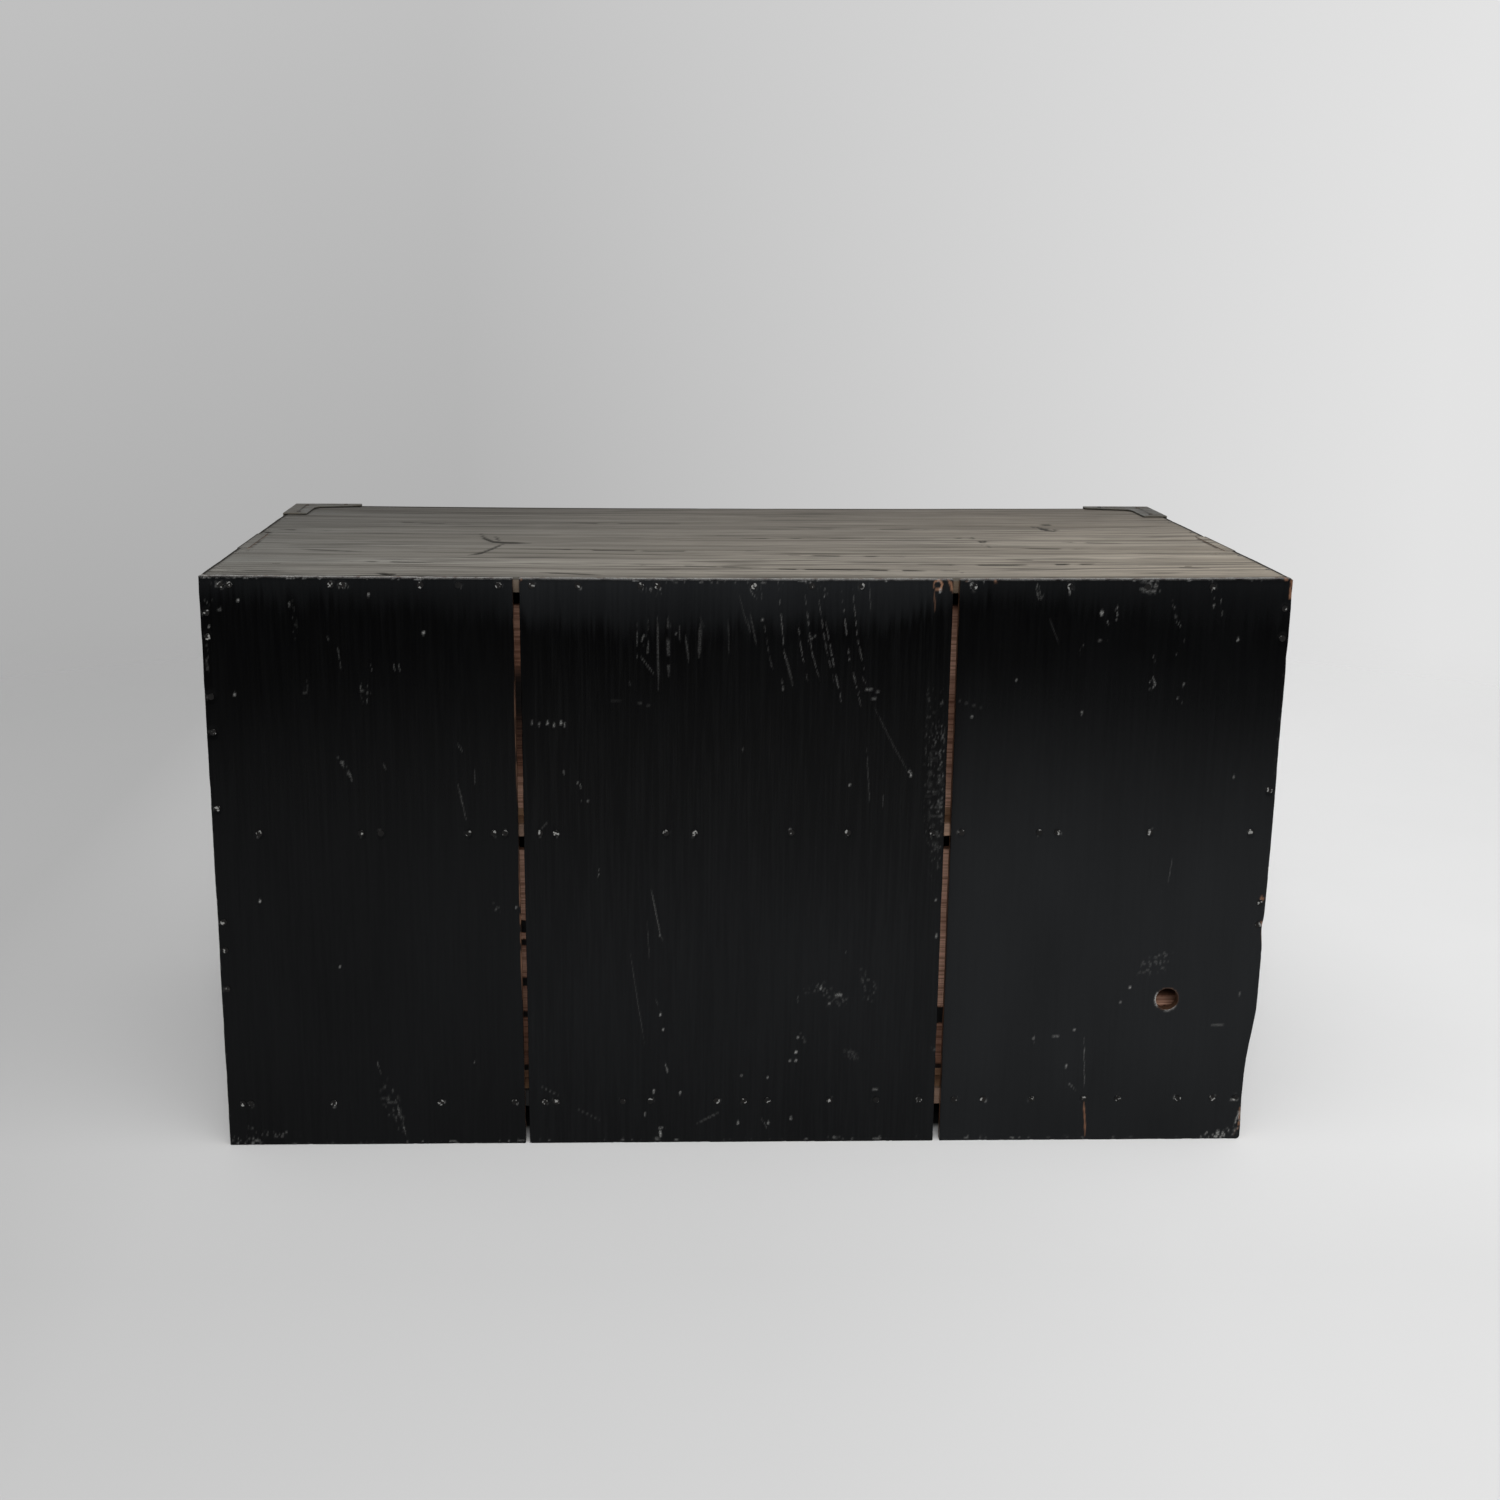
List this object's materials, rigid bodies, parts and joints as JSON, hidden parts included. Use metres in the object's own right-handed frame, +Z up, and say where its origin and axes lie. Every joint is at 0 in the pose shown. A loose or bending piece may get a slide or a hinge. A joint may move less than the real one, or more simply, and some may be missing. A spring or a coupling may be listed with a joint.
{
  "type": "tansu chest",
  "caption": "Low black-lacquered wooden chest of drawers with a nailed plank back, box-jointed top, iron corners, bail handles and sliding-bolt locks.",
  "frame": {"origin": "middle of the chest's box, at floor level; the bail eyes at the front count in that box", "axes": "+X to the right as seen from the drawer side, -Y out of the drawer fronts, +Y out of the nailed back boards, +Z up"},
  "size_m": [0.9, 0.469, 0.4874],
  "materials": {
    "back_lacquer": "worn black lacquer, satin to glossy",
    "case_lacquer": "worn black lacquer, satin",
    "top_lacquer": "rubbed grey-brown lacquer with the grain showing, satin",
    "drawer_lacquer": "brown-black lacquer, satin",
    "inner_wood": "bare aged softwood",
    "drawer_wood": "bare aged softwood",
    "peg_wood": "bare hardwood",
    "wrought_iron": "dark hammered iron with a dull patina",
    "nail_iron": "dark iron, worn bright in spots"
  },
  "bodies": {
    "case": {"top_board": "top_lacquer", "side_board_left": "case_lacquer", "side_board_right": "case_lacquer", "bottom_board": "inner_wood", "middle_shelf": "inner_wood", "front_base_rail": "case_lacquer", "back_board_left": "back_lacquer", "back_board_middle": "back_lacquer", "back_board_right": "back_lacquer", "back_nails": "nail_iron", "case_pegs": "peg_wood", "corner_iron_top_left": "wrought_iron", "corner_iron_top_right": "wrought_iron", "corner_iron_bottom_left": "wrought_iron", "corner_iron_bottom_right": "wrought_iron", "corner_iron_nails": "nail_iron", "upper_drawer_stops": "inner_wood", "lower_drawer_stops": "inner_wood", "side_handle_posts": "wrought_iron", "side_handle_post_plates": "wrought_iron"},
    "left_carrying_bail": {"side_handle_left_bail": "wrought_iron"},
    "right_carrying_bail": {"side_handle_right_bail": "wrought_iron"},
    "upper_drawer": {"upper_drawer_front": "drawer_lacquer", "upper_drawer_side_left": "drawer_wood", "upper_drawer_side_right": "drawer_wood", "upper_drawer_back": "drawer_wood", "upper_drawer_bottom": "drawer_wood", "upper_drawer_pegs": "peg_wood", "upper_lock_plate": "wrought_iron", "upper_lock_case": "wrought_iron", "upper_handle_posts": "wrought_iron", "upper_handle_post_plates": "wrought_iron", "upper_drawer_corner_irons": "wrought_iron", "upper_drawer_trim_nails": "nail_iron"},
    "upper_left_bail": {"upper_handle_left_bail": "wrought_iron"},
    "upper_right_bail": {"upper_handle_right_bail": "wrought_iron"},
    "upper_bolt": {"upper_lock_bolt": "nail_iron"},
    "lower_drawer": {"lower_drawer_front": "drawer_lacquer", "lower_drawer_side_left": "drawer_wood", "lower_drawer_side_right": "drawer_wood", "lower_drawer_back": "drawer_wood", "lower_drawer_bottom": "drawer_wood", "lower_drawer_pegs": "peg_wood", "lower_lock_plate": "wrought_iron", "lower_lock_case": "wrought_iron", "lower_handle_posts": "wrought_iron", "lower_handle_post_plates": "wrought_iron", "lower_drawer_corner_irons": "wrought_iron", "lower_drawer_trim_nails": "nail_iron"},
    "lower_left_bail": {"lower_handle_left_bail": "wrought_iron"},
    "lower_right_bail": {"lower_handle_right_bail": "wrought_iron"},
    "lower_bolt": {"lower_lock_bolt": "nail_iron"}
  },
  "joints": [
    {"name": "upper_drawer_slide", "type": "slide", "parent": "case", "child": "upper_drawer", "axis": [0, -1, 0], "range_m": [0, 0.34]},
    {"name": "lower_drawer_slide", "type": "slide", "parent": "case", "child": "lower_drawer", "axis": [0, -1, 0], "range_m": [0, 0.34]},
    {"name": "upper_left_bail_swing", "type": "hinge", "parent": "upper_drawer", "child": "upper_left_bail", "pos_m": [-0.22, -0.2285, 0.3865], "axis": [-1, 0, 0], "range_deg": [-5, 175]},
    {"name": "upper_right_bail_swing", "type": "hinge", "parent": "upper_drawer", "child": "upper_right_bail", "pos_m": [0.22, -0.2285, 0.3865], "axis": [-1, 0, 0], "range_deg": [-5, 175]},
    {"name": "lower_left_bail_swing", "type": "hinge", "parent": "lower_drawer", "child": "lower_left_bail", "pos_m": [-0.22, -0.2285, 0.169], "axis": [-1, 0, 0], "range_deg": [-5, 175]},
    {"name": "lower_right_bail_swing", "type": "hinge", "parent": "lower_drawer", "child": "lower_right_bail", "pos_m": [0.22, -0.2285, 0.169], "axis": [-1, 0, 0], "range_deg": [-5, 175]},
    {"name": "upper_bolt_slide", "type": "slide", "parent": "upper_drawer", "child": "upper_bolt", "axis": [0, 0, 1], "range_m": [0, 0.007]},
    {"name": "lower_bolt_slide", "type": "slide", "parent": "lower_drawer", "child": "lower_bolt", "axis": [0, 0, 1], "range_m": [0, 0.007]},
    {"name": "left_carrying_bail_swing", "type": "hinge", "parent": "case", "child": "left_carrying_bail", "pos_m": [-0.444, 0.0075, 0.35], "axis": [0, 1, 0], "range_deg": [-5, 175]},
    {"name": "right_carrying_bail_swing", "type": "hinge", "parent": "case", "child": "right_carrying_bail", "pos_m": [0.444, 0.0075, 0.35], "axis": [0, -1, 0], "range_deg": [-5, 175]}
  ]
}
